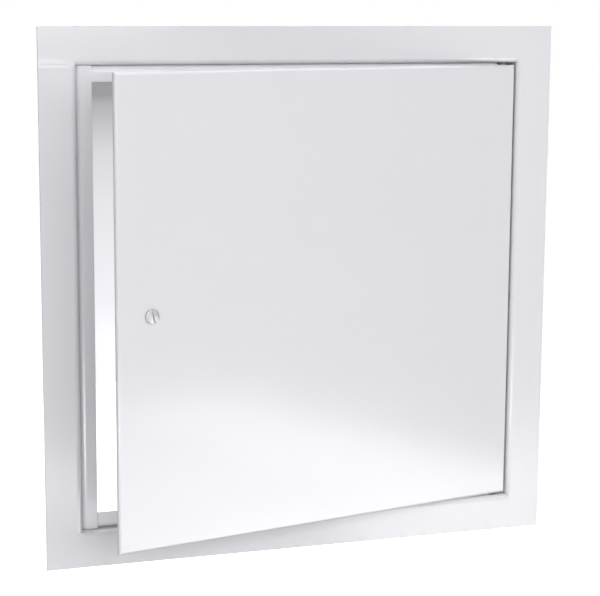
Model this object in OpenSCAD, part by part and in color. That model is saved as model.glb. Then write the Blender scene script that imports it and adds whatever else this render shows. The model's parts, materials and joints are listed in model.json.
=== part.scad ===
// Flush access panel for a wall or ceiling: a square trim frame with a hinged steel door,
// a concealed pivot rod and a cam latch turned with a screwdriver.
// The flange backs lie on the wall plane y = 0, +Y goes into the wall and +Z is up.
// The origin is the centre of the opening on the wall plane.

/* [Frame] */
// Width over the trim flange
frame_w = 355.6; // [300:0.1:620]
// Height over the trim flange
frame_h = 355.6; // [300:0.1:620]
// From the outer edge of the flange to the inside of the jamb
flange_w = 24.5; // [20:0.1:40]
// Thickness of the frame sheet
frame_sheet = 1.5; // [1.2:0.1:2]
// Outside radius of the bend between flange and jamb
flange_bend = 3.5; // [2.6:0.1:4]
// How far the jamb reaches behind the wall plane
jamb_depth = 41.3; // [40:0.1:80]
// Joint between one trim member and the next
seam_gap = 0.2; // [0.1:0.05:0.5]

/* [Door stops] */
// From the front of the flange back to the face of the stop
stop_depth = 4.5; // [4.5:0.1:5]
// Width of the stop's face
stop_w = 10.8; // [9:0.1:14]
// Depth of the leg that lies on the jamb
stop_leg = 14; // [10:0.1:14]
// Thickness of the stop sheet
stop_sheet = 1.5; // [1.2:0.1:1.6]
// Outside radius of the stop's bend
stop_bend = 4.5; // [3:0.1:5]
// Room between the end of one stop and its neighbour
stop_gap = 0.3; // [0.1:0.05:0.6]

/* [Door] */
// Gap between the door and the jambs at its two sides
door_gap = 2.4; // [2:0.1:3]
// Gap between the door and the jambs at head and sill
head_gap = 1.8; // [1.5:0.1:3]
// Thickness of the door sheet
door_sheet = 1.5; // [1.2:0.1:1.6]
// Thickness over the folded edge
door_edge = 4; // [3.6:0.1:4]
// Width of the folded edge on three sides
hem_w = 12; // [8:0.1:12]
// Width of the folded edge that carries the hinge
hinge_hem_w = 24; // [20:0.1:40]
// Gap between two folded edges at a corner, seen from behind
mitre_gap = 0.6; // [0.2:0.1:2]
// How far the door stands open
door_open = 12.3; // [0:0.1:90]

/* [Hinge] */
// Diameter of the pivot rod
rod_d = 4.76; // [3:0.01:4.8]
// From the hinge edge of the door to the middle of the rod
pivot_inset = 6.5; // [6.5:0.1:7]
// Room between the rod and the back of the folded edge
rod_room = 0.12; // [0.05:0.01:0.2]
// Running clearance of the rod in the frame, on the radius
rod_run = 0.05; // [0.02:0.01:0.1]
// Thickness of the straps that hold the rod
strap_sheet = 1.2; // [1:0.1:1.4]
// Length of a strap along the rod
strap_w = 18; // [10:0.1:30]
// Reach of a strap's foot from the middle of the rod
strap_foot = 15; // [10:0.1:16]
// Room between the outer straps and the stops
strap_room = 1.5; // [1:0.1:4]
// Outside diameter of the washers at the rod's ends
washer_d = 7.4; // [6.4:0.1:7.4]
// Play of the door between its washers
washer_play = 0.3; // [0.2:0.1:0.6]

/* [Latch] */
// From the free edge of the door to the middle of the latch
latch_inset = 24; // [23.5:0.1:26]
// Play of the latch along its axis, under its head and behind the plate
latch_play = 0.1; // [0.05:0.01:0.2]
// Diameter of the slotted head
head_d = 9.4; // [8:0.1:12]
// Height of the slotted head at its middle
head_h = 1.8; // [1.6:0.1:2.4]
// Height of the straight edge of the head
head_rim = 1.1; // [0.4:0.1:1.4]
// Width of the screwdriver slot
slot_w = 1.2; // [1:0.1:1.6]
// Depth of the screwdriver slot
slot_depth = 1.1; // [0.8:0.1:1.2]
// Diameter of the shank where it turns in the door
shank_d = 6; // [5.5:0.1:6.4]
// Running clearance of the shank, on the radius
shank_run = 0.1; // [0.05:0.01:0.2]
// Square on the shank that drives the cam
square_w = 4.2; // [3.8:0.1:4.2]
// Diameter of the threaded end
thread_d = 4; // [3:0.1:4]
// Reach of the cam from its middle to its tip
cam_reach = 21.5; // [18:0.1:22]
// Width of the cam's arm
cam_w = 10; // [8:0.1:10]
// Diameter of the cam's hub
cam_hub_d = 13; // [11:0.1:13]
// Thickness of the cam
cam_t = 2.5; // [2:0.1:3]
// Room between the cam and the back of the stop when the door is shut
cam_room = 0.5; // [0.3:0.1:1]
// How far the cam leans from upright towards the free edge
cam_lean = 14; // [0:1:90]
// Thickness of the plate that carries the cam's stops
plate_sheet = 1.5; // [1.2:0.1:1.6]

/* [Mounting] */
// Diameter of the screw holes in the jambs
screw_d = 5.5; // [4:0.1:6]
// Distance between the two screw holes of a jamb
screw_spacing = 203.2; // [100:0.1:220]
// From the wall plane back to the screw holes
screw_depth = 33.5; // [33.5:0.1:36]

/* [Hidden] */
$fn = 96;

paint = "whitesmoke";
zinc = "silver";
nylon = "dimgray";
overshoot = 1;

// Frame
front_y = -frame_sheet;
inner_x = frame_w / 2 - flange_w;
inner_z = frame_h / 2 - flange_w;
stop_y = front_y + stop_depth;
stop_back_y = stop_y + stop_sheet;
stop_edge_x = inner_x - stop_w;
stop_edge_z = inner_z - stop_w;

// Door, shut
door_w = 2 * (inner_x - door_gap);
door_h = 2 * (inner_z - head_gap);
edge_r = door_edge / 2;
skin_back_y = front_y + door_sheet;
door_back_y = front_y + door_edge;

// Pivot, on the right of the opening
pivot_x = door_w / 2 - pivot_inset;
pivot_y = door_back_y + rod_room + rod_d / 2;
edge_sweep = sqrt(pow(pivot_inset - edge_r, 2) + pow(pivot_y - front_y - edge_r, 2)) + edge_r;
swing_room = 0.8;
hinge_stop_y = pivot_y + edge_sweep + swing_room;
stop_end_x = pivot_x - washer_d / 2 - stop_gap;
rod_end_z = inner_z + frame_sheet;
rod_chamfer = 0.4;
strap_fit = 0.03;
strap_fillet = 0.8;
outer_strap_z = stop_edge_z - strap_room - strap_w / 2;
washer_run = 0.08;
washer_t = head_gap - washer_play;

// Latch, in the shut door
latch_x = -door_w / 2 + latch_inset;
plate_back_y = skin_back_y + plate_sheet;
cam_y = stop_back_y + cam_room;
cam_back_y = cam_y + cam_t;
spacer_d = 9.4;
flat_washer_t = 1;
flat_washer_d = 10;
spring_washer_t = 1.2;
spring_washer_d = 7.6;
spring_split = 0.9;
nut_af = 7;
nut_t = 3.6;
thread_fit = 0.02;
washer_fit = 0.15;
thread_past_nut = 1.2;
nut_y = cam_back_y + flat_washer_t + spring_washer_t;
bolt_end_y = nut_y + nut_t + thread_past_nut;
cam_tip_t = 1.5;
cam_tip_slope = 20;
cam_stop_room = 0.3;
ear_bend = 2;
ear_face = cam_w / 2 + cam_stop_room + plate_sheet;
ear_from = 5;
ear_to = 11;

// A right-angle section with its outside corner at the origin, the face up and the leg to the right.
module angle_section(face, leg, sheet, bend) {
    translate([0, bend]) square([sheet, face - bend]);
    translate([bend, 0]) square([leg - bend, sheet]);
    translate([bend, bend]) difference() {
        intersection() {
            circle(r = bend);
            translate([-bend, -bend]) square(bend);
        }
        circle(r = bend - sheet);
    }
}

// Stretches a section drawn as depth and height along X.
module along_x(from, to) {
    translate([from, 0, 0])
        rotate([90, 0, 90])
            linear_extrude(to - from)
                children();
}

// A round bar or hole along Y.
module along_y(r, from, to) {
    translate([0, from, 0])
        rotate([-90, 0, 0])
            cylinder(r = r, h = to - from);
}

// One side of the frame, drawn as the head. Its left end covers the corner, and its right end
// butts against the next member, so that the four go round like a pinwheel.
module frame_member(length, across) {
    edge = across / 2 - flange_w;
    jamb_from = -length / 2 + flange_w - frame_sheet;
    butt = length / 2 - flange_w - seam_gap;
    translate([-length / 2, front_y, edge])
        cube([flange_w - frame_sheet, frame_sheet, flange_w]);
    translate([-length / 2, front_y, edge + flange_bend])
        cube([length / 2 + butt, frame_sheet, flange_w - flange_bend]);
    along_x(jamb_from, butt)
        translate([front_y, edge])
            angle_section(flange_w, jamb_depth - front_y, frame_sheet, flange_bend);
}

// The two screw holes of a jamb, drawn for the head.
module screw_holes(across) {
    for (side = [-1, 1])
        translate([side * screw_spacing / 2, screw_depth, across / 2 - flange_w - overshoot])
            cylinder(d = screw_d, h = frame_sheet + 2 * overshoot);
}

module pivot_hole() {
    translate([pivot_x, pivot_y, -frame_h / 2])
        cylinder(r = rod_d / 2 + rod_run, h = frame_h);
}

module head_member() {
    color(paint) difference() {
        frame_member(frame_w, frame_h);
        screw_holes(frame_h);
        pivot_hole();
    }
}

module hinge_member() {
    color(paint) rotate([0, 90, 0]) difference() {
        frame_member(frame_h, frame_w);
        screw_holes(frame_w);
    }
}

module sill_member() {
    color(paint) difference() {
        rotate([0, 180, 0]) difference() {
            frame_member(frame_w, frame_h);
            screw_holes(frame_h);
        }
        pivot_hole();
    }
}

module latch_member() {
    color(paint) rotate([0, 270, 0]) difference() {
        frame_member(frame_h, frame_w);
        screw_holes(frame_w);
    }
}

// A stop angle under a jamb, drawn for the head: face down, leg back along the jamb.
module stop_angle(from, to, edge, face_y) {
    along_x(from, to)
        translate([face_y, edge])
            mirror([0, 1])
                angle_section(stop_w, stop_leg, stop_sheet, stop_bend);
}

module head_stop() {
    color(paint) stop_angle(-stop_edge_x + stop_gap, stop_end_x, inner_z, stop_y);
}

module sill_stop() {
    color(paint) mirror([0, 0, 1])
        stop_angle(-stop_edge_x + stop_gap, stop_end_x, inner_z, stop_y);
}

module latch_stop() {
    color(paint) rotate([0, 270, 0])
        stop_angle(-inner_z + stop_gap, inner_z - stop_gap, inner_x, stop_y);
}

// Set back behind the swing of the door's hinge edge.
module hinge_stop() {
    color(paint) rotate([0, 90, 0])
        stop_angle(-inner_z + stop_gap, inner_z - stop_gap, inner_x, hinge_stop_y);
}

module pivot_washer() {
    translate([pivot_x, pivot_y, inner_z - washer_t]) difference() {
        cylinder(d = washer_d, h = washer_t);
        translate([0, 0, -overshoot])
            cylinder(r = rod_d / 2 + washer_run, h = washer_t + 2 * overshoot);
    }
}

module head_washer() {
    color(nylon) pivot_washer();
}

module sill_washer() {
    color(nylon) mirror([0, 0, 1]) pivot_washer();
}

// Swings what is drawn in the shut door about the pivot rod.
module swing() {
    translate([pivot_x, pivot_y, 0])
        rotate([0, 0, door_open])
            translate([-pivot_x, -pivot_y, 0])
                children();
}

// The part of a side that belongs to one edge of the door, cut at 45 degrees at both ends.
module mitre(width, height, depth, gap) {
    inset = gap * sqrt(2) / 2;
    translate([0, door_back_y + overshoot, 0])
        rotate([90, 0, 0])
            linear_extrude(door_edge + 2 * overshoot)
                polygon([[-width / 2 + inset, height / 2],
                         [width / 2 - inset, height / 2],
                         [width / 2 - inset - depth, height / 2 - depth],
                         [-width / 2 + inset + depth, height / 2 - depth]]);
}

// The section of a folded edge: the bend, with a flat strip from there to a depth at one face.
module folded_section(height, fold, strip_y) {
    translate([front_y + edge_r, height / 2 - edge_r]) difference() {
        intersection() {
            circle(r = edge_r);
            translate([-edge_r, 0]) square([2 * edge_r, edge_r]);
        }
        circle(r = edge_r - door_sheet);
    }
    translate([strip_y, height / 2 - fold])
        square([door_sheet, fold - edge_r]);
}

// One folded edge, drawn for the top of the door. The strip at the front lies in the skin.
module folded_edge(width, height, fold) {
    intersection() {
        along_x(-width / 2, width / 2)
            folded_section(height, fold, front_y);
        mitre(width, height, fold, 0);
    }
    intersection() {
        along_x(-width / 2, width / 2)
            folded_section(height, fold, door_back_y - door_sheet);
        mitre(width, height, fold, mitre_gap);
    }
}

module door_panel() {
    color(paint) swing() difference() {
        union() {
            translate([-door_w / 2 + edge_r, front_y, -door_h / 2 + edge_r])
                cube([door_w - door_edge, door_sheet, door_h - door_edge]);
            folded_edge(door_w, door_h, hem_w);
            rotate([0, 90, 0]) folded_edge(door_h, door_w, hinge_hem_w);
            rotate([0, 180, 0]) folded_edge(door_w, door_h, hem_w);
            rotate([0, 270, 0]) folded_edge(door_h, door_w, hem_w);
        }
        translate([latch_x, 0, 0])
            along_y(shank_d / 2 + shank_run, front_y - overshoot, skin_back_y + overshoot);
    }
}

module pivot_rod() {
    color(zinc) swing() translate([pivot_x, pivot_y, 0])
        rotate_extrude()
            polygon([[0, -rod_end_z],
                     [rod_d / 2 - rod_chamfer, -rod_end_z],
                     [rod_d / 2, -rod_end_z + rod_chamfer],
                     [rod_d / 2, rod_end_z - rod_chamfer],
                     [rod_d / 2 - rod_chamfer, rod_end_z],
                     [0, rod_end_z]]);
}

// A strap folded over the rod, with its foot flat on the back of the folded edge.
module rod_strap(z) {
    bore = rod_d / 2 + strap_fit;
    outer = bore + strap_sheet;
    foot_y = door_back_y - pivot_y;
    swing() translate([pivot_x, pivot_y, z - strap_w / 2]) linear_extrude(strap_w) {
        difference() {
            union() {
                circle(r = outer);
                translate([-outer, foot_y]) square([2 * outer, -foot_y]);
            }
            circle(r = bore);
            translate([-bore, foot_y - overshoot]) square([2 * bore, overshoot - foot_y]);
            translate([-outer, -2 * outer]) square([2 * outer, 2 * outer + foot_y]);
        }
        translate([-strap_foot, foot_y]) square([strap_foot - outer, strap_sheet]);
        translate([-outer - strap_fillet, foot_y + strap_sheet]) difference() {
            square(strap_fillet);
            translate([0, strap_fillet]) circle(r = strap_fillet);
        }
    }
}

module upper_strap() {
    color(paint) rod_strap(outer_strap_z);
}

module middle_strap() {
    color(paint) rod_strap(0);
}

module lower_strap() {
    color(paint) rod_strap(-outer_strap_z);
}

// An ear folded up from the plate, drawn for its right edge.
module cam_ear() {
    translate([ear_face, skin_back_y, ear_from])
        linear_extrude(ear_to - ear_from)
            rotate([0, 0, 90])
                angle_section(ear_face, cam_back_y - skin_back_y, plate_sheet, ear_bend);
}

// A plate welded behind the skin, with two ears that hold the cam to a quarter turn.
module latch_plate() {
    flat = ear_face - ear_bend;
    color(paint) swing() translate([latch_x, 0, 0]) difference() {
        union() {
            translate([-ear_to, skin_back_y, -flat])
                cube([ear_to + flat, plate_sheet, ear_to + flat]);
            cam_ear();
            rotate([0, 90, 0]) mirror([0, 0, 1]) cam_ear();
        }
        along_y(shank_d / 2 + shank_run, skin_back_y - overshoot, plate_back_y + overshoot);
    }
}

// Places what is drawn round the latch's own axis, with the cam up.
module turn() {
    swing() translate([latch_x, 0, 0]) rotate([0, -cam_lean, 0]) children();
}

module domed_head() {
    dome_h = head_h - head_rim;
    dome_r = (pow(head_d / 2, 2) + pow(dome_h, 2)) / (2 * dome_h);
    rotate([90, 0, 0]) difference() {
        intersection() {
            cylinder(d = head_d, h = head_h);
            translate([0, 0, head_h - dome_r]) sphere(r = dome_r);
        }
        translate([-slot_w / 2, -head_d, head_h - slot_depth])
            cube([slot_w, 2 * head_d, slot_depth + overshoot]);
    }
}

// Head, shank, square and thread. Each step starts inside the one before.
module latch_bolt() {
    head_y = front_y - latch_play;
    root_y = head_y - (head_h - slot_depth) / 2;
    color(zinc) turn() {
        translate([0, head_y, 0]) domed_head();
        along_y(shank_d / 2, root_y, cam_y);
        translate([-square_w / 2, head_y, -square_w / 2])
            cube([square_w, cam_back_y - head_y, square_w]);
        along_y(thread_d / 2, head_y, bolt_end_y);
    }
}

// A flat ring round the latch's axis.
module ring(outer, bore, from, to) {
    difference() {
        along_y(outer, from, to);
        along_y(bore, from - overshoot, to + overshoot);
    }
}

module latch_spacer() {
    color(zinc) turn()
        ring(spacer_d / 2, shank_d / 2 + shank_run, plate_back_y + latch_play, cam_y);
}

module cam_arm() {
    tip_r = cam_w / 2;
    color(zinc) turn() difference() {
        union() {
            along_y(cam_hub_d / 2, cam_y, cam_back_y);
            translate([-tip_r, cam_y, 0]) cube([cam_w, cam_t, cam_reach - tip_r]);
            translate([0, 0, cam_reach - tip_r]) along_y(tip_r, cam_y, cam_back_y);
        }
        translate([-square_w / 2 - thread_fit, cam_y - overshoot, -square_w / 2 - thread_fit])
            cube([square_w + 2 * thread_fit, cam_t + 2 * overshoot, square_w + 2 * thread_fit]);
        translate([-cam_w, cam_y + cam_t - cam_tip_t, cam_reach]) rotate([-cam_tip_slope, 0, 0])
            translate([0, -cam_t, -cam_w]) cube([2 * cam_w, cam_t, 2 * cam_w]);
    }
}

module cam_washer() {
    color(zinc) turn()
        ring(flat_washer_d / 2, thread_d / 2 + washer_fit, cam_back_y, cam_back_y + flat_washer_t);
}

module spring_washer() {
    from = cam_back_y + flat_washer_t;
    color(zinc) turn() difference() {
        ring(spring_washer_d / 2, thread_d / 2 + washer_fit, from, from + spring_washer_t);
        translate([0, from - overshoot, -spring_split / 2])
            cube([spring_washer_d, spring_washer_t + 2 * overshoot, spring_split]);
    }
}

module lock_nut() {
    corner_r = nut_af / sqrt(3);
    color(zinc) turn() translate([0, nut_y, 0]) rotate([-90, 0, 0]) difference() {
        intersection() {
            cylinder(r = corner_r, h = nut_t, $fn = 6);
            cylinder(r1 = nut_af / 2 + nut_t, r2 = nut_af / 2, h = nut_t);
        }
        translate([0, 0, -overshoot])
            cylinder(r = thread_d / 2 + thread_fit, h = nut_t + 2 * overshoot);
    }
}

head_member();
hinge_member();
sill_member();
latch_member();
head_stop();
hinge_stop();
sill_stop();
latch_stop();
head_washer();
sill_washer();
door_panel();
pivot_rod();
upper_strap();
middle_strap();
lower_strap();
latch_plate();
latch_bolt();
latch_spacer();
cam_arm();
cam_washer();
spring_washer();
lock_nut();
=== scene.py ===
# Flush access panel, dressed: powder coated frame and door, plated latch and pivot rod,
# and the white studio it is photographed in. Metres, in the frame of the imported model;
# the bolt, the seams and the welds are drawn in mm.
import json
import math

import bmesh
import bpy
from mathutils import Matrix, Vector


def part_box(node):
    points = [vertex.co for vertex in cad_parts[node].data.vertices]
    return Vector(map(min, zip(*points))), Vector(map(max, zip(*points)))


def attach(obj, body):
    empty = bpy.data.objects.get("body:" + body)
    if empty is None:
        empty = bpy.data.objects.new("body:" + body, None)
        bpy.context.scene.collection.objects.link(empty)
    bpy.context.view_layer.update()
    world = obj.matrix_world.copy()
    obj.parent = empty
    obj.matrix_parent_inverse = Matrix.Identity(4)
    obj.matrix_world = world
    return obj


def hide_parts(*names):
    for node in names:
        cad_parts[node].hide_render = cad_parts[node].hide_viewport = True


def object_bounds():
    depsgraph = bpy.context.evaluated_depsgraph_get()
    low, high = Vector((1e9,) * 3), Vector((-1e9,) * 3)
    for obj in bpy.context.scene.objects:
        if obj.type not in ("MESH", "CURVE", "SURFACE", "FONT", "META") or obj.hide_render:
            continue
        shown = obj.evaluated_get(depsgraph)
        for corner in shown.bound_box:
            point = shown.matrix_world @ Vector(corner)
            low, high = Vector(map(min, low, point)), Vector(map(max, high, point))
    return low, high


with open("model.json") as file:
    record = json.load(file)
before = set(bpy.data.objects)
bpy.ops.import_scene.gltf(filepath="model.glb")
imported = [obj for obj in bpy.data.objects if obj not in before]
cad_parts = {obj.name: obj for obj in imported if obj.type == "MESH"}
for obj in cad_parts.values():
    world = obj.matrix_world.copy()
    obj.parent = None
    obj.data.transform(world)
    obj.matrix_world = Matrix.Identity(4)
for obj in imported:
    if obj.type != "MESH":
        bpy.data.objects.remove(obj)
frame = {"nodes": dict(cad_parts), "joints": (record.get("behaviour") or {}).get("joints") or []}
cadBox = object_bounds()
nodes = frame["nodes"]
joints = {joint["name"]: joint for joint in frame["joints"]}
mm = 0.001


# node trees

def addNode(tree, kind, **values):
    # values are those of the node's sockets or, where it has none of that name, its settings
    node = tree.nodes.new(kind)
    for name, value in values.items():
        if name in node.inputs:
            node.inputs[name].default_value = value
        else:
            setattr(node, name, value)
    return node


def wire(tree, source, target):
    tree.links.new(source, target)


def noise(tree, coords, scale, detail, roughness=0.5):
    node = addNode(tree, "ShaderNodeTexNoise", Scale=scale, Detail=detail, Roughness=roughness)
    wire(tree, coords, node.inputs["Vector"])
    return node.outputs["Fac"]


def remap(tree, value, fromMin, fromMax, toMin=0.0, toMax=1.0):
    node = addNode(tree, "ShaderNodeMapRange", **{"From Min": fromMin, "From Max": fromMax,
                                                  "To Min": toMin, "To Max": toMax})
    wire(tree, value, node.inputs["Value"])
    return node.outputs["Result"]


def cloud(tree, coords, scale, detail, *limits):
    return remap(tree, noise(tree, coords, scale, detail), *limits)


def calc(tree, operation, a, b):
    node = addNode(tree, "ShaderNodeMath", operation=operation)
    for socket, value in zip(node.inputs, (a, b)):
        if isinstance(value, (int, float)):
            socket.default_value = value
        else:
            wire(tree, value, socket)
    return node.outputs[0]


def dotProduct(tree, a, b):
    node = addNode(tree, "ShaderNodeVectorMath", operation="DOT_PRODUCT")
    wire(tree, a, node.inputs[0])
    wire(tree, b, node.inputs[1])
    return node.outputs["Value"]


def mixColour(tree, factor, a, b):
    # the mix node's factor and its two colours; its other inputs are for numbers and vectors
    node = addNode(tree, "ShaderNodeMix", data_type="RGBA")
    wire(tree, factor, node.inputs[0])
    for socket, value in ((node.inputs[6], a), (node.inputs[7], b)):
        if isinstance(value, tuple):
            socket.default_value = (*value, 1)
        else:
            wire(tree, value, socket)
    return node.outputs[2]


def bump(tree, height, strength, distance, normal=None):
    node = addNode(tree, "ShaderNodeBump", Strength=strength, Distance=distance)
    wire(tree, height, node.inputs["Height"])
    if normal is not None:
        wire(tree, normal, node.inputs["Normal"])
    return node.outputs["Normal"]


def relief(tree, coords, scale, detail, strength, distance, normal=None):
    return bump(tree, noise(tree, coords, scale, detail), strength, distance, normal)


def startMaterial(name, **constants):
    material = bpy.data.materials.new(name)
    material.use_nodes = True
    tree = material.node_tree
    shader = tree.nodes["Principled BSDF"]
    for socket, value in constants.items():
        shader.inputs[socket].default_value = value
    coords = addNode(tree, "ShaderNodeTexCoord").outputs["Object"]
    return material, tree, shader, coords


def edgeMask(tree, radius):
    # 1 where the rounded normal leans 37 degrees or more, on folds and cut edges, 0 on flat sheet
    rounded = addNode(tree, "ShaderNodeBevel", samples=4, Radius=radius).outputs[0]
    flat = addNode(tree, "ShaderNodeNewGeometry").outputs["Normal"]
    return remap(tree, dotProduct(tree, rounded, flat), 1.0, 0.8), rounded


# Each finish gives its patches, its wear with a painted highlight on folds and cut edges, and
# roughness
# as noise: scale, detail, the noise that counts as least and as most, and what they become (0 and 1
# unless given). Relief is scale, detail, strength and depth.

powderCoat = {
    "ior": 1.5,
    "colour": (0.806, 0.800, 0.834),
    "warmer": (0.812, 0.804, 0.834), "patches": (22, 3, 0.35, 0.65),
    # folds and cut edges: a lighter colour that is painted highlight, and a duller roughness from
    # wear
    "edgeHighlightColour": (0.82, 0.815, 0.845), "edgeRadius": 0.0006,
    "wearAndEdgeHighlight": (160, 4, 0.4, 0.7, 0.15, 0.6), "wearDulls": 0.12,
    "roughness": (75, 3, 0.3, 0.7, 0.095, 0.13),
    "waves": (14, 1, 0.35, 0.0003),        # slow waves of thin sheet
    "peel": (850, 2, 0.5, 0.00001),        # orange peel, about 1.2 mm from crest to crest
}


def makePowderCoat(name, look):
    material, tree, shader, coords = startMaterial(name, IOR=look["ior"])
    patches = cloud(tree, coords, *look["patches"])
    mask, rounded = edgeMask(tree, look["edgeRadius"])
    # painted highlight: where this mask is high, folds and cut edges take the lighter edge colour
    wearAndEdgeHighlight = calc(tree, "MULTIPLY", mask, cloud(tree, coords, *look["wearAndEdgeHighlight"]))
    colour = mixColour(tree, patches, look["colour"], look["warmer"])
    wire(tree, mixColour(tree, wearAndEdgeHighlight, colour, look["edgeHighlightColour"]), shader.inputs["Base Color"])
    dull = cloud(tree, coords, *look["roughness"])
    worn = calc(tree, "MULTIPLY", wearAndEdgeHighlight, look["wearDulls"])
    wire(tree, calc(tree, "ADD", dull, worn), shader.inputs["Roughness"])
    waves = relief(tree, coords, *look["waves"], rounded)
    wire(tree, relief(tree, coords, *look["peel"], waves), shader.inputs["Normal"])
    return material


plating = {
    # zinc plate, turned
    "colour": (0.84, 0.835, 0.85),
    "tint": (0.79, 0.785, 0.78), "patches": (190, 4, 0.35, 0.7),    # faint passivation
    # how fine the tool's marks are along each axis, and how rough, least and most
    "grain": (1800, 1800, 1800), "grainDetail": 3, "grainRoughness": 0.7,
    "grainLimits": (0.3, 0.7), "roughness": (0.22, 0.34), "grainDepth": 0.00001,
    "grainStrength": 0.3, "edgeRadius": 0.00025,
}
rodPlating = {**plating, "grain": (2600, 2600, 60)}      # drawn along the rod
camPlating = {**plating, "grain": (420, 420, 420)}       # stamped
boltPlatingShaded = {**plating, "colour": (0.455, 0.452, 0.467), "tint": (0.42, 0.416, 0.42),
               "roughness": (0.40, 0.48)}                # satin; its darker colour is painted shade on the zinc


def makePlating(name, look):
    material, tree, shader, coords = startMaterial(name, Metallic=1.0)
    patches = cloud(tree, coords, *look["patches"])
    colour = mixColour(tree, patches, look["colour"], look["tint"])
    wire(tree, colour, shader.inputs["Base Color"])
    stretch = addNode(tree, "ShaderNodeMapping", Scale=look["grain"])
    wire(tree, coords, stretch.inputs["Vector"])
    grain = noise(tree, stretch.outputs[0], 1.0, look["grainDetail"], look["grainRoughness"])
    rough = remap(tree, grain, *look["grainLimits"], *look["roughness"])
    wire(tree, rough, shader.inputs["Roughness"])
    rounded = edgeMask(tree, look["edgeRadius"])[1]
    marks = bump(tree, grain, look["grainStrength"], look["grainDepth"], rounded)
    wire(tree, marks, shader.inputs["Normal"])
    return material


greyNylon = {
    "ior": 1.53,
    "colour": (0.095, 0.095, 0.10),
    "paler": (0.12, 0.12, 0.125), "patches": (420, 2, 0.3, 0.7),
    "roughness": (1500, 2, 0.3, 0.7, 0.34, 0.5),
    "grain": (2400, 2, 0.25, 0.00001),
}


def makeNylon(name, look):
    material, tree, shader, coords = startMaterial(name, IOR=look["ior"])
    patches = cloud(tree, coords, *look["patches"])
    colour = mixColour(tree, patches, look["colour"], look["paler"])
    wire(tree, colour, shader.inputs["Base Color"])
    wire(tree, cloud(tree, coords, *look["roughness"]), shader.inputs["Roughness"])
    wire(tree, relief(tree, coords, *look["grain"]), shader.inputs["Normal"])
    return material


print("finishes")
framePaint = makePowderCoat("powder_coat_frame", powderCoat)
doorPaint = makePowderCoat("powder_coat_door", powderCoat)
rodZinc = makePlating("zinc_drawn", rodPlating)
turnedZinc = makePlating("zinc_turned", plating)
boltZincShaded = makePlating("zinc_satin_shaded", boltPlatingShaded)
camZinc = makePlating("zinc_stamped", camPlating)
nylon = makeNylon("nylon_grey", greyNylon)

dress = {
    "head_member": framePaint, "hinge_member": framePaint,
    "sill_member": framePaint, "latch_member": framePaint,
    "head_stop": framePaint, "hinge_stop": framePaint,
    "sill_stop": framePaint, "latch_stop": framePaint,
    "head_washer": nylon, "sill_washer": nylon,
    "door_panel": doorPaint, "latch_plate": doorPaint,
    "upper_strap": doorPaint, "middle_strap": doorPaint, "lower_strap": doorPaint,
    "pivot_rod": rodZinc, "latch_bolt": boltZincShaded, "cam_arm": camZinc,
    "latch_spacer": turnedZinc, "cam_washer": turnedZinc,
    "spring_washer": turnedZinc, "lock_nut": turnedZinc,
}
for name, material in dress.items():
    slots = nodes[name].data.materials
    slots.clear()
    slots.append(material)


# eased cut edges of the sheet parts and corners of the fittings

easedEdges = {
    "segments": 2, "sharpFrom": 35,      # degrees between faces
    "width": 0.16, "merge": 0.001,       # mm
    "ownWidth": {
        "cam_arm": 0.2, "lock_nut": 0.2,
        "latch_spacer": 0.12, "cam_washer": 0.12, "spring_washer": 0.12,
        "head_washer": 0.12, "sill_washer": 0.12, "pivot_rod": 0.12,
    },
}
ownNormal = "own_normal"    # name of the corner attribute that carries the normals


def startGroup(name):
    group = bpy.data.node_groups.new(name, "GeometryNodeTree")
    for way in ("INPUT", "OUTPUT"):
        group.interface.new_socket("Geometry", in_out=way, socket_type="NodeSocketGeometry")
    return group, addNode(group, "NodeGroupInput"), addNode(group, "NodeGroupOutput")


def makeNoteNormals():
    # notes the folded sheet's own normals before its edges are eased
    group, start, end = startGroup("note_normals")
    note = addNode(group, "GeometryNodeStoreNamedAttribute", data_type="FLOAT_VECTOR",
                   domain="CORNER", Name=ownNormal)
    wire(group, start.outputs[0], note.inputs["Geometry"])
    normal = addNode(group, "GeometryNodeInputNormal").outputs["Normal"]
    wire(group, normal, note.inputs["Value"])
    wire(group, note.outputs[0], end.inputs[0])
    return group


def makeRestoreNormals():
    # gives them back after, so that long folds mirror the same from end to end
    group, start, end = startGroup("restore_normals")
    noted = addNode(group, "GeometryNodeInputNamedAttribute", data_type="FLOAT_VECTOR",
                    Name=ownNormal).outputs["Attribute"]
    # a sliver that the easing turns over keeps its normal on its own side
    trueNormal = addNode(group, "GeometryNodeInputNormal").outputs["True Normal"]
    side = calc(group, "SIGN", dotProduct(group, noted, trueNormal), 0)
    turned = addNode(group, "ShaderNodeVectorMath", operation="SCALE")
    wire(group, noted, turned.inputs[0])
    wire(group, side, turned.inputs["Scale"])
    give = addNode(group, "GeometryNodeSetMeshNormal", mode="FREE", domain="CORNER")
    wire(group, start.outputs[0], give.inputs["Mesh"])
    wire(group, turned.outputs[0], give.inputs["Custom Normal"])
    drop = addNode(group, "GeometryNodeRemoveAttribute", Name=ownNormal)
    wire(group, give.outputs[0], drop.inputs["Geometry"])
    wire(group, drop.outputs[0], end.inputs[0])
    return group


noteNormals, restoreNormals = makeNoteNormals(), makeRestoreNormals()


def easeEdges(name, node, look):
    width = look["ownWidth"].get(name, look["width"])
    node.modifiers.new("note_normals", "NODES").node_group = noteNormals
    weld = node.modifiers.new("weld", "WELD")
    weld.merge_threshold = look["merge"] * mm
    bevel = node.modifiers.new("eased_edges", "BEVEL")
    bevel.width, bevel.segments, bevel.use_clamp_overlap = width * mm, look["segments"], False
    bevel.limit_method, bevel.angle_limit = "ANGLE", math.radians(look["sharpFrom"])
    node.modifiers.new("restore_normals", "NODES").node_group = restoreNormals


print("edges")
for name, node in nodes.items():
    if name != "latch_bolt":        # makeBolt replaces it
        easeEdges(name, node, easedEdges)


# where the shut door's frame and the latch's own stand at rest

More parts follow.
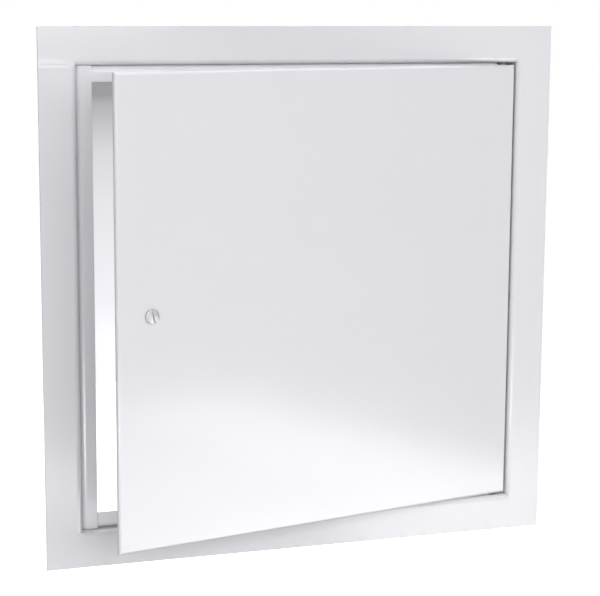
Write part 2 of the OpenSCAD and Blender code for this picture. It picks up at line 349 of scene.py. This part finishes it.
swing, turn = joints["door_swing"], joints["cam_turn"]
pivot = Vector(swing["pos_m"])
doorOpen = Matrix.Rotation(math.radians(-swing["range_deg"][0]), 4, "Z")
doorAtRest = Matrix.Translation(pivot) @ doorOpen @ Matrix.Translation(-pivot)
latchX = (doorAtRest.inverted() @ Vector(turn["pos_m"])).x
latchTurned = Matrix.Rotation(math.radians(turn["range_deg"][0]), 4, "Y")
latchAtRest = doorAtRest @ Matrix.Translation((latchX, 0, 0)) @ latchTurned


def addObject(name, data):
    added = bpy.data.objects.new(name, data)
    bpy.context.scene.collection.objects.link(added)
    return added


def addPiece(name, points, faces, material, body, place=Matrix(), sharpAngle=40):
    # points in mm, in the frame that place carries to rest
    mesh = bpy.data.meshes.new(name)
    mesh.from_pydata([place @ (Vector(point) * mm) for point in points], [], faces)
    shape = bmesh.new()
    shape.from_mesh(mesh)
    bmesh.ops.remove_doubles(shape, verts=shape.verts, dist=1e-7)
    bmesh.ops.recalc_face_normals(shape, faces=shape.faces)
    shape.to_mesh(mesh)
    shape.free()
    mesh.shade_smooth()
    mesh.set_sharp_from_angle(angle=math.radians(sharpAngle))
    mesh.materials.append(material)
    piece = addObject(name, mesh)
    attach(piece, body)
    return piece


def gridFaces(rows, columns, closed=False, offset=0):
    # quads between neighbouring rows of points, closed round each row or not
    faces = []
    for row in range(rows - 1):
        start = offset + row * columns
        for column in range(columns if closed else columns - 1):
            a, b = start + column, start + (column + 1) % columns
            faces.append((a, b, b + columns, a + columns))
    return faces


pinhole = 0.001     # what a ring closes to, so that its faces stay quads


# slotted bolt of the latch, head to thread, along its own axis

bolt = {
    "seat": -1.6, "headRadius": 4.7, "headHeight": 1.8,
    "rimHeight": 1.1, "rimRound": 0.18, "rimSteps": (0.3, 0.6, 0.85, 1), "seatEase": 0.08,
    "slotWidth": 1.2, "slotDepth": 1.1,
    # share of the slot's half width, and of the dome that stands there, up to its eased brim
    "slotWall": ((0, 0), (0.5, 0), (0.86, 0), (0.95, 0.04), (0.99, 0.2), (1, 0.72)),
    "brimWidth": 0.16, "brimDrop": 0.28, "brimSteps": (0.25, 0.5, 0.75, 1),
    "domeColumns": 14, "domeRows": 40,
    "sides": 48, "shankRadius": 3.0, "shankEnd": 5.0, "shankEase": (0.25, 0.2),
    "square": 4.2, "squareEnd": 7.5, "squareRound": 0.35, "squareEase": 0.15,
    "threadRadius": 2.0, "threadRoot": 1.66, "pitch": 0.7, "ringsPerTurn": 10,
    "crestWidth": 0.1, "flankWidth": 0.75,      # shares of half a turn of the thread
    "end": 14.5, "endChamfer": 0.45, "chamferSlope": 0.9, "endFace": 0.4,
    "step": 0.01,       # from one outline to the next
    "sharpAngle": 50,
}


def boltHead(look):
    seat, radius, rimRound = look["seat"], look["headRadius"], look["rimRound"]
    top, rise, inner = look["headHeight"], look["headHeight"] - look["rimHeight"], radius - rimRound
    domeRadius = (radius ** 2 + rise ** 2) / (2 * rise)
    bottom, half, brim = top - look["slotDepth"], look["slotWidth"] / 2, look["brimWidth"]
    # columns across the slot: distance from its middle, and how much of the dome stands there
    columns = [(half * x, part) for x, part in look["slotWall"]]
    columns += [(half + brim * step, 1 - look["brimDrop"] * (1 - step) ** 2)
                for step in look["brimSteps"]]
    outside = look["domeColumns"]
    columns += [(half + brim + (inner - half - brim) * math.sin(step / outside * math.pi / 2), 1)
                for step in range(1, outside + 1)]
    columns = [(-x, part) for x, part in reversed(columns)] + columns[1:]
    rows = look["domeRows"]
    points = []
    for x, part in columns:
        reach = math.sqrt(max(inner ** 2 - x ** 2, 0))
        for row in range(rows + 1):
            z = reach * math.sin((row / rows * 2 - 1) * math.pi / 2)
            dome = math.sqrt(domeRadius ** 2 - x * x - z * z) - domeRadius + top
            points.append((x, seat - (bottom + part * (dome - bottom)), z))
    faces = gridFaces(len(columns), rows + 1)
    border = [column * (rows + 1) for column in range(len(columns))]
    border += [column * (rows + 1) + rows for column in reversed(range(len(columns)))]
    # the rounded rim follows the dome's edge down; then the wall, the seat and in to the shank
    bends = [step * math.pi / 2 for step in look["rimSteps"]]
    rim = [(inner + math.sin(bend) * rimRound, (1 - math.cos(bend)) * rimRound) for bend in bends]
    ease = look["seatEase"]
    under = [(radius, seat - ease), (radius - ease, seat), (look["shankRadius"], seat)]
    loop = border
    for number, (ringRadius, level) in enumerate(rim + under):
        following = []
        for index in border:
            x, y, z = points[index]
            size = math.hypot(x, z)
            edge = min(y + level, seat) if number < len(rim) else level
            following.append(len(points))
            points.append((x / size * ringRadius, edge, z / size * ringRadius))
        for a in range(len(border)):
            b = (a + 1) % len(border)
            faces.append((loop[a], loop[b], following[b], following[a]))
        loop = following
    return points, faces


def boltShank(look):
    # rings of one outline each: round shank, square with rounded corners, thread
    sides, step = look["sides"], look["step"]
    angles = [2 * math.pi * side / sides for side in range(sides)]
    around = [(math.cos(angle), math.sin(angle)) for angle in angles]
    rings = []

    def roundRing(y, radius):
        rings.append([(radius * x, y, radius * z) for x, z in around])

    def squareRing(y, grow=0.0):
        half, rounding = look["square"] / 2 + grow, look["squareRound"]
        reach = (half - rounding) * math.sqrt(2) + rounding
        ring = []
        for x, z in around:
            fromCorner = abs(abs(math.atan2(z, x)) % (math.pi / 2) - math.pi / 4)
            size = min(half / max(abs(x), abs(z)), reach / math.cos(fromCorner))
            ring.append((x * size, y, z * size))
        rings.append(ring)

    alongEase, inEase = look["shankEase"]
    roundRing(look["seat"], look["shankRadius"])
    roundRing(look["shankEnd"] - alongEase, look["shankRadius"])
    roundRing(look["shankEnd"], look["shankRadius"] - inEase)
    squareRing(look["shankEnd"] + step)
    squareRing(look["squareEnd"] - look["squareEase"])
    squareRing(look["squareEnd"], -look["squareEase"])
    start, end, pitch = look["squareEnd"] + step, look["end"], look["pitch"]
    outer, depth = look["threadRadius"], look["threadRadius"] - look["threadRoot"]
    total = int((end - start) / pitch * look["ringsPerTurn"])
    for number in range(total + 1):
        y = start + (end - start) * number / total
        fade = min((y - start) / pitch, 1)
        chamfer = max(look["endChamfer"] - (end - y), 0) * look["chamferSlope"]
        ring = []
        for side, (x, z) in enumerate(around):
            phase = (y / pitch - side / sides) % 1
            flank = (abs(phase - 0.5) * 2 - look["crestWidth"]) / look["flankWidth"]
            groove = min(max(flank, 0), 1)      # flat crest and root
            radius = min(outer - depth * groove * fade, outer - chamfer)
            ring.append((radius * x, y, radius * z))
        rings.append(ring)
    roundRing(end, outer * look["endFace"])
    roundRing(end, pinhole)
    return [point for ring in rings for point in ring], gridFaces(len(rings), sides, closed=True)


def makeBolt(look):
    points, faces = boltHead(look)
    more, moreFaces = boltShank(look)
    faces += [tuple(index + len(points) for index in face) for face in moreFaces]
    piece = addPiece("slotted_bolt", points + more, faces, boltZincShaded, "latch",
                     latchAtRest, look["sharpAngle"])
    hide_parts("latch_bolt")


# welds and paint of the trim frame's corners

frameCorner = {
    "innerEdge": 153.3, "outerEdge": 177.8,     # the jamb's inner face, and the flange's rim
    "front": -1.5, "sheet": 1.5, "bend": 3.5, "gap": 0.2,
}


def quarterTurn(quarter):
    # carries a shape drawn at the head to the hinge side, the sill and the latch side
    return Matrix.Rotation(math.pi / 2 * quarter, 4, "Y")


def addFourTimes(name, points, faces):
    allPoints, allFaces = [], []
    for quarter in range(4):
        allFaces += [tuple(index + len(allPoints) for index in face) for face in faces]
        allPoints += [quarterTurn(quarter) @ Vector(point) for point in points]
    addPiece(name, allPoints, allFaces, framePaint, "frame")


seamFill = {
    "rows": 24, "risingRows": 4, "proud": 0.008, "overBend": 0.4, "shortOfRim": 0.15,
    # lips along the filled seams: height at each corner from the upper right one clockwise, and
    # share of that height against distance from the seam
    "lips": (0.03, 0, 0, 0.07),
    "lipShape": ((0, 0), (0.4, 0.3), (0.8, 0.85), (1.2, 1), (1.9, 0.8), (2.9, 0.42), (4.2, 0.1),
                 (5.5, 0)),
}


def makeSeamFill(look, corner):
    # drawn for the head's right end: a strip over the seam, with a low lip along each side where
    # the seam still shows, down to the bend
    middle = corner["innerEdge"] - corner["gap"] / 2
    low = corner["innerEdge"] + corner["bend"] - look["overBend"]
    high = corner["outerEdge"] - look["shortOfRim"]
    rows, lipShape = look["rows"], look["lipShape"]
    columns = [(-across, share) for across, share in reversed(lipShape)] + list(lipShape[1:])
    allPoints, faces = [], []
    for quarter, lip in enumerate(look["lips"]):
        faces += gridFaces(rows + 1, len(columns), offset=len(allPoints))
        for row in range(rows + 1):
            z = low + (high - low) * row / rows
            height = lip * min(1, row / look["risingRows"])
            for across, share in columns:
                y = corner["front"] - look["proud"] - height * share
                allPoints.append(quarterTurn(quarter) @ Vector((middle + across, y, z)))
    addPiece("seam_fill", allPoints, faces, framePaint, "frame")


cornerFillets = {
    "tabEnd": 1.5,      # the flat tab of each corner ends this far past the opening's corner
    "reach": 1.5,       # and from there to the full bends
    "steps": 26, "size": 0.22, "from": (-0.22, -1.76), "hair": 0.01,
    # how the edges of the fillet dive into the sheet: slope under the tab, depth under the bends
    "underTab": 0.08, "underBends": 0.03, "tabCover": 0.6,
    "proud": 0.012, "proudFade": 4,
}


def makeCornerFillets(look, corner):
    # paint and weld run smoothly from the flat tab of a corner down to the two bends, drawn for
    # the head's left end: u out over the latch member, v up over the head
    reach, bend, tabEnd, hair = look["reach"], corner["bend"], look["tabEnd"], look["hair"]
    steps, size, tabCover = look["steps"], look["size"], look["tabEnd"] + look["tabCover"]

    def bendDepth(distance):
        distance = min(max(distance, 0), bend)
        return bend - math.sqrt(bend ** 2 - (bend - distance) ** 2)

    points, index, faces = [], {}, []
    for i in range(steps):
        for j in range(steps):
            u, v = look["from"][0] + i * size, look["from"][1] + j * size
            away = math.hypot(max(tabEnd - u, 0), max(-v, 0))
            part = min(away / reach, 1)
            ease = part * part * (3 - 2 * part)
            depth = bendDepth(max(u, v)) * ease
            if away == 0:
                depth = min(u - tabEnd, v) * look["underTab"]
            elif away >= reach:
                depth += look["underBends"]
            else:
                depth -= look["proud"] * min(1, look["proudFade"] * (1 - part))
            inOpening, onTab = u < -hair and v < -hair, u > tabCover and v > look["tabCover"]
            if inOpening or onTab or away > reach + 2 * size:
                continue
            index[i, j] = len(points)
            points.append((-corner["innerEdge"] - u, corner["front"] + depth,
                           corner["innerEdge"] + v))
    for i, j in index:
        square = [(i, j), (i + 1, j), (i + 1, j + 1), (i, j + 1)]
        if all(key in index for key in square):
            faces.append(tuple(index[key] for key in square))
    addFourTimes("corner_fillets", points, faces)


cornerWelds = {
    "from": 2.5, "to": 41.0, "rows": 120, "across": 8, "width": 3.4, "height": 0.55, "sunk": 0.02,
    "ripple": 1.3, "rippleShare": 0.10,     # mm from one to the next, and share of the bead
    "uneven": 0.05, "unevenRate": 1.7,
    "drift": 0.18, "driftRate": 0.9, "driftStart": 0.6,
    # the ends taper: how steeply, from what share of the bead, and how narrow
    "taperRate": 6, "taperFrom": 0.25, "endWidth": 0.6,
}


def makeCornerWelds(look, corner):
    # a rippled bead down the outside of each jamb corner, drawn for the head's left end
    rows, across, endWidth = look["rows"], look["across"], look["endWidth"]
    points = []
    for row in range(rows + 1):
        along = row / rows
        y = look["from"] + (look["to"] - look["from"]) * along
        taper = min(1, look["taperRate"] * along + look["taperFrom"],
                    look["taperRate"] * (1 - along) + look["taperFrom"])
        ripple = look["rippleShare"] * abs(math.sin(math.pi * y / look["ripple"]))
        wave = 1 + ripple + look["uneven"] * math.sin(y * look["unevenRate"])
        drift = look["drift"] * math.sin(y * look["driftRate"] + look["driftStart"])
        halfWidth = look["width"] / 2 * wave * (endWidth + (1 - endWidth) * taper)
        height = look["height"] * wave * taper
        for column in range(across + 1):
            angle = math.pi * column / across
            x = -corner["innerEdge"] - corner["sheet"] + look["sunk"] - math.sin(angle) * height
            z = corner["innerEdge"] + drift - math.cos(angle) * halfWidth
            points.append((x, y, z))
    addFourTimes("corner_welds", points, gridFaces(rows + 1, across + 1))


stopFill = {
    "edge": -142.5, "gap": 0.3, "top": 152.7, "bottom": 142.62,
    "face": 3.0, "bend": 4.5, "proud": 0.008, "rows": 30,
    # distance across the joint, and how much of the head stop's bend is there
    "across": ((-0.95, 0), (-0.2, 0), (0, 0.5), (0.2, 1), (0.95, 1)),
}


def makeStopFill(look, corner):
    # paint over the joint of the latch side's stop and the head's, down the head stop's bend
    middle, bend, rows = look["edge"] + look["gap"] / 2, look["bend"], look["rows"]
    points = []
    for row in range(rows + 1):
        z = look["bottom"] + (look["top"] - look["bottom"]) * row / rows
        rest = max(bend - (corner["innerEdge"] - z), 0)
        depth = bend - math.sqrt(bend ** 2 - rest ** 2)
        for across, part in look["across"]:
            points.append((middle + across, look["face"] - look["proud"] + depth * part, z))
    faces = gridFaces(rows + 1, len(look["across"]))
    addPiece("stop_fill", points, faces, framePaint, "frame")


# spot welds of stops, straps and latch plate

spotWelds = {
    "radius": 2.7, "height": 0.11, "proud": 0.004, "sides": 24,
    # share of the radius, and of the height there
    "profile": ((0.0, 0.15), (0.45, 0.12), (0.68, 0.3), (0.8, 1.0), (0.9, 0.7), (1.0, 0.0)),
    "stops": ("head_stop", "hinge_stop", "sill_stop", "latch_stop"),
    "alongStops": (-120, -60, 0, 60, 120), "stopLegDepth": 9.5,
    "straps": ("upper_strap", "middle_strap", "lower_strap"),
    "strapSpread": 4.6, "strapFromPivot": -10.2, "strapDepth": 3.7,
    "plateRadius": 2.0, "plateDepth": 1.5,
    "plate": ((-8.3, 8.3), (-8.3, -3.0), (3.0, 8.3)),      # from the latch's axis
}


def spotMark(centre, facing, look, points, faces):
    # a pressed ring round a flat middle, as the electrode leaves it
    facing = Vector(facing).normalized()
    side = facing.orthogonal().normalized()
    other = facing.cross(side)
    sides = look["sides"]
    faces += gridFaces(len(look["profile"]), sides, closed=True, offset=len(points))
    for part, height in look["profile"]:
        reach = max(part, pinhole) * look["radius"]
        lift = facing * (height * look["height"] + look["proud"])
        for number in range(sides):
            angle = 2 * math.pi * number / sides
            points.append(Vector(centre) + side * math.cos(angle) * reach
                          + other * math.sin(angle) * reach + lift)


def makeSpotWelds(look, corner):
    points, faces = [], []
    for quarter, name in enumerate(look["stops"]):
        about = quarterTurn(quarter)
        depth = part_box(name)[0][1] / mm + look["stopLegDepth"]
        for x in look["alongStops"]:
            for facing in (-1, 1):      # on the leg, and outside on the jamb
                centre = about @ Vector((x, depth, corner["innerEdge"] + facing * corner["sheet"]))
                spotMark(centre, about @ Vector((0, 0, facing)), look, points, faces)
    addPiece("stop_spot_welds", points, faces, framePaint, "frame")
    points, faces = [], []
    inward = (0, 1, 0)
    for name in look["straps"]:
        low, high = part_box(name)
        middle = (low[2] + high[2]) / 2 / mm
        x = pivot.x / mm + look["strapFromPivot"]
        for z in (middle - look["strapSpread"], middle + look["strapSpread"]):
            spotMark((x, look["strapDepth"], z), inward, look, points, faces)
    for x, z in look["plate"]:
        spotMark((latchX / mm + x, look["plateDepth"], z), inward,
                 {**look, "radius": look["plateRadius"]}, points, faces)
    addPiece("door_spot_welds", points, faces, doorPaint, "door", doorAtRest)


print("latch bolt")
makeBolt(bolt)
print("welds")
makeSeamFill(seamFill, frameCorner)
makeStopFill(stopFill, frameCorner)
makeCornerFillets(cornerFillets, frameCorner)
makeCornerWelds(cornerWelds, frameCorner)
makeSpotWelds(spotWelds, frameCorner)


# studio

studio = {
    "background": 1.0,                 # what the camera sees past the panel
    "tint": (0.985, 0.98, 1.0),        # of the room's light
    "ambient": 0.12,
    # what paint and plating reflect of the room, and of its darker left side, with the
    # directions' x between which the one goes over to the other
    "mirrored": 0.544, "mirroredLeft": 0.046, "leftTo": (-0.9, -0.3),
    "floorDrop": 0.45,                 # floor below the panel's lower edge
    "floorSize": 14,
    "floorFinish": {"Base Color": (0.8, 0.8, 0.8, 1), "Roughness": 0.9,
                    "Emission Color": (1, 1, 1, 1), "Emission Strength": 0.9},
}


def setWorld(look):
    world = bpy.data.worlds.new("white_studio")
    bpy.context.scene.world = world
    world.use_nodes = True
    tree = world.node_tree
    tree.nodes.clear()
    ray = addNode(tree, "ShaderNodeLightPath").outputs

    def sky(colour, strength):
        return addNode(tree, "ShaderNodeBackground", Color=(*colour, 1), Strength=strength)

    def pick(kind, others, these):
        # rays of this kind see these, all others the others
        node = addNode(tree, "ShaderNodeMixShader")
        for socket, source in zip(node.inputs, (ray[kind], others, these)):
            wire(tree, source, socket)
        return node.outputs[0]

    mirrored = sky(look["tint"], look["mirrored"])
    split = addNode(tree, "ShaderNodeSeparateXYZ")
    wire(tree, addNode(tree, "ShaderNodeTexCoord").outputs["Generated"], split.inputs[0])
    fade = remap(tree, split.outputs["X"], *look["leftTo"], look["mirroredLeft"], look["mirrored"])
    wire(tree, fade, mirrored.inputs["Strength"])
    ambient = sky(look["tint"], look["ambient"])
    shade = pick("Is Glossy Ray", ambient.outputs[0], mirrored.outputs[0])
    background = sky((1, 1, 1), look["background"])
    shade = pick("Is Camera Ray", shade, background.outputs[0])
    wire(tree, shade, addNode(tree, "ShaderNodeOutputWorld").inputs[0])


def addStageCard(name, points, material):
    # a plain card of the studio; the room's light comes past it
    mesh = bpy.data.meshes.new(name)
    mesh.from_pydata(points, [], [(0, 1, 2, 3)])
    mesh.materials.append(material)
    card = addObject(name, mesh)
    card.visible_diffuse = card.visible_glossy = card.visible_shadow = False


def makeFloor(look):
    half, z = look["floorSize"] / 2, cadBox[0].z - look["floorDrop"]
    white = startMaterial("floor_white", **look["floorFinish"])[0]
    addStageCard("floor", [(-half, -half, z), (half, -half, z), (half, half, z), (-half, half, z)],
                 white)


paintedShadeCard = {
    "y": 2.0,
    "x": (0.235, 0.335),
    "z": (-0.5, 0.12),
    # painted shade: grey against height, darker towards the top, standing in for the far wall's
    # shade behind the opening
    "steps": ((-0.42, 1.0), (-0.35, 0.9), (-0.17, 0.79), (-0.08, 0.70), (0.005, 0.45),
              (0.02, 0.34)),
    "tint": (1.01, 1, 1.05),
}


def makePaintedShadeCard(look):
    (x0, x1), (z0, z1), y = look["x"], look["z"], look["y"]
    material = bpy.data.materials.new("painted_shade_grey")
    material.use_nodes = True
    tree = material.node_tree
    tree.nodes.clear()
    split = addNode(tree, "ShaderNodeSeparateXYZ")
    wire(tree, addNode(tree, "ShaderNodeTexCoord").outputs["Object"], split.inputs[0])
    ramp = addNode(tree, "ShaderNodeValToRGB")
    wire(tree, remap(tree, split.outputs["Z"], z0, z1), ramp.inputs[0])
    elements = ramp.color_ramp.elements
    while len(elements) < len(look["steps"]):
        elements.new(0.5)
    for element, (z, grey) in zip(elements, look["steps"]):
        element.position = (z - z0) / (z1 - z0)
        element.color = (*(grey * tint for tint in look["tint"]), 1)
    # the card glows with these greys of painted shade; it is no lamp
    glow = addNode(tree, "ShaderNodeEmission", Strength=1.0)
    wire(tree, ramp.outputs[0], glow.inputs[0])
    wire(tree, glow.outputs[0], addNode(tree, "ShaderNodeOutputMaterial").inputs[0])
    addStageCard("painted_shade_card", [(x0, y, z0), (x1, y, z0), (x1, y, z1), (x0, y, z1)], material)


softBoxes = {
    # name: azimuth to the right of the panel's face, elevation, watts, and whether it lights matt
    # surfaces, is mirrored, or both; "direct" is matt light that isn't passed on, so the panel's
    # back doesn't lend it to the front
    "key": (30, 45, 6.2, "both"),
    "front": (0, 15, 14.4, "both"),
    "right": (28, 18, 5.1, "both"),
    "rightFill": (32, 12, 5.1, "matt"),
    "sideRight": (60, 15, 1.8, "both"),
    "sideLeft": (-60, 15, 3.6, "both"),
    "lowLeft": (-60, -30, 4.9, "both"),
    "above": (180, 78, 36.5, "both"),
    "fill": (-30, 15, 12.5, "matt"),
    "glint": (-30, 38, 3.5, "mirror"),
    "rear": (165, 20, 20.0, "direct"),
}
boxSize, boxAway = 1, 2.4       # every soft box is square and aims at the panel's middle

lowCards = {
    # name: left, right, near and far edge, watts; they lie face up below the view and show only
    # as the soft bright patch that the door's lower half and the folds reflect
    "farLeft": (-1.60, -0.70, -2.40, -1.50, 25.0),
    "farLeftBack": (-1.60, -0.70, -1.50, -0.70, 2.5),
    "left": (-0.70, 0.10, -2.40, -1.50, 0.4),
    "leftBack": (-0.70, 0.10, -1.50, -0.70, 2.2),
    "middle": (0.10, 0.50, -1.90, -1.50, 1.75),
    "right": (0.50, 0.90, -1.90, -1.50, 3.3),
    "rightBack": (0.50, 0.90, -1.50, -1.10, 1.5),
    "rightNear": (0.50, 0.90, -1.10, -0.70, 5.2),
    "farRight": (0.90, 1.20, -1.90, -1.50, 0.8),
    "farRightBack": (0.90, 1.20, -1.50, -1.10, 1.5),
    "farRightNear": (0.90, 1.20, -1.10, -0.70, 2.7),
    "end": (1.20, 1.50, -1.90, -1.50, 1.75),
    "endBack": (1.20, 1.50, -1.50, -1.10, 1.95),
    "endNear": (1.20, 1.50, -1.10, -0.70, 2.0),
}
cardHeight = -0.6

# matt light that comes back from the floor
floorFill = {"place": (0.1, -0.7, -0.45), "width": 0.8, "depth": 1.0, "watts": 2.3}


def addLight(name, place, target, width, height, watts):
    data = bpy.data.lights.new(name, "AREA")
    data.shape, data.size, data.size_y, data.energy = "RECTANGLE", width, height, watts
    light = addObject(name, data)
    light.location = place
    light.rotation_mode = "QUATERNION"
    light.rotation_quaternion = (Vector(target) - Vector(place)).to_track_quat("-Z", "Y")
    light.visible_camera = False
    return light


def heading(right, up):
    # unit vector, right of the +Y direction and up from the horizon
    return Vector((math.sin(right) * math.cos(up), math.cos(right) * math.cos(up), math.sin(up)))


def addSoftBox(name, azimuth, elevation, watts, seenBy):
    place = heading(math.radians(azimuth), math.radians(elevation)) * boxAway
    place.y = -place.y          # the face looks along -Y
    box = addLight(name, place, (0, 0, 0), boxSize, boxSize, watts)
    box.visible_glossy, box.visible_diffuse = seenBy in ("both", "mirror"), seenBy != "mirror"
    if seenBy == "direct":
        box.data.cycles.max_bounces = 0


def addLowCard(name, x0, x1, y0, y1, watts):
    x, y = (x0 + x1) / 2, (y0 + y1) / 2
    card = addLight(name, (x, y, cardHeight), (x, y, 1), x1 - x0, y1 - y0, watts)
    card.visible_diffuse = False


def addFloorFill(look):
    x, y, z = look["place"]
    fill = addLight("floorFill", (x, y, z), (x, y, 1), look["width"], look["depth"], look["watts"])
    fill.visible_glossy = False


view = {
    "place": (-0.3749, -1.1280, 0.1988),
    # degrees, to the right of +Y and above the horizon
    "yaw": 18.264, "pitch": -9.667, "roll": 0.34,
    "lens": 107.17, "sensor": 36, "clipStart": 0.01,
}


def addCamera(look):
    yaw, pitch, roll = (math.radians(look[name]) for name in ("yaw", "pitch", "roll"))
    ahead = heading(yaw, pitch)
    level = Vector((math.cos(yaw), -math.sin(yaw), 0))
    above = level.cross(ahead)
    right = level * math.cos(roll) + above * math.sin(roll)
    up = above * math.cos(roll) - level * math.sin(roll)
    data = bpy.data.cameras.new("camera")
    data.lens, data.sensor_width, data.clip_start = look["lens"], look["sensor"], look["clipStart"]
    camera = addObject("camera", data)
    aim = Matrix((right, up, -ahead)).transposed().to_4x4()
    camera.matrix_world = Matrix.Translation(look["place"]) @ aim
    bpy.context.scene.camera = camera


print("studio")
setWorld(studio)
makeFloor(studio)
makePaintedShadeCard(paintedShadeCard)
for name, settings in softBoxes.items():
    addSoftBox(name, *settings)
for name, settings in lowCards.items():
    addLowCard(name, *settings)
addFloorFill(floorFill)
addCamera(view)
bpy.context.scene.view_settings.view_transform = "Standard"
